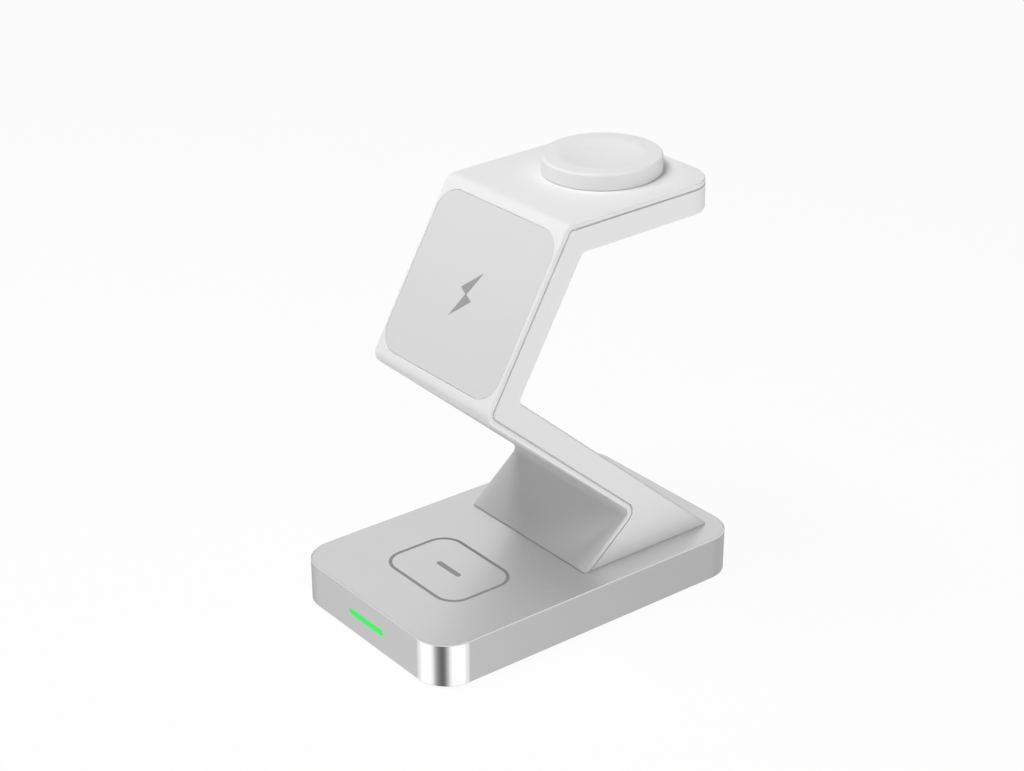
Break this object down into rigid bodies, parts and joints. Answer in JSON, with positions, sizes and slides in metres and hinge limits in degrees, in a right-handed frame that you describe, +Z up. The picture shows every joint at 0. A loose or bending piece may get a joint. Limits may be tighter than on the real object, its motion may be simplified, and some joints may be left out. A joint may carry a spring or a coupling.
{
  "type": "three in one wireless charger",
  "caption": "Wireless charging stand: a metal framed base for an earbud case, a folded arm with a leaning phone pad, and a round watch puck on the top shelf.",
  "frame": {"origin": "on the resting surface, under the middle of the base", "axes": "+X right, +Y to the rear (the light is at the front, the inlet at the rear), +Z up"},
  "size_m": [0.0814, 0.13, 0.1506],
  "materials": {
    "polished_aluminium": "bright polished",
    "silver_paint": "satin metallic paint",
    "white_plastic": "fine satin moulding",
    "puck_plastic": "smooth satin moulding",
    "grey_pad": "soft matt",
    "grey_silicone": "soft matt",
    "cover_plastic": "fine texture",
    "screw_steel": "zinc plated",
    "weight_steel": "zinc plated sheet",
    "circuit_board": "solder mask",
    "chip_black": "moulded epoxy",
    "ceramic_tan": "fired ceramic",
    "socket_nylon": "moulded nylon",
    "inlet_steel": "nickel plated",
    "tongue_black": "moulded",
    "indicator_green": "lit light pipe",
    "copper_wire": "enamelled wire",
    "ferrite": "sintered",
    "nickel_magnet": "nickel plated",
    "lead_insulation": "soft insulation"
  },
  "bodies": {
    "root": {"base_frame": "polished_aluminium", "base_top_panel": "silver_paint", "stand_front_cover": "white_plastic", "stand_rear_housing": "white_plastic", "watch_puck": "puck_plastic", "phone_pad": "grey_pad", "foot_mat": "grey_silicone", "base_bottom_cover": "cover_plastic", "cover_screws": "screw_steel", "board_screws": "screw_steel", "stand_screws": "screw_steel", "puck_screws": "screw_steel", "counterweight": "weight_steel", "magnet_yoke": "weight_steel", "main_board": "circuit_board", "indicator_board": "circuit_board", "watch_board": "circuit_board", "controller_chip": "chip_black", "bridge_chips": "chip_black", "inductors": "chip_black", "capacitors": "ceramic_tan", "lead_sockets": "socket_nylon", "usb_c_shell": "inlet_steel", "usb_c_tongue": "tongue_black", "indicator_lens": "indicator_green", "indicator_leds": "indicator_green", "earbud_coil": "copper_wire", "phone_coil": "copper_wire", "watch_coil": "copper_wire", "earbud_ferrite": "ferrite", "phone_ferrite": "ferrite", "watch_ferrite": "ferrite", "phone_magnets": "nickel_magnet", "watch_magnet": "nickel_magnet", "phone_lead": "lead_insulation", "watch_lead": "lead_insulation", "earbud_lead": "lead_insulation", "indicator_lead": "lead_insulation"}
  },
  "joints": []
}
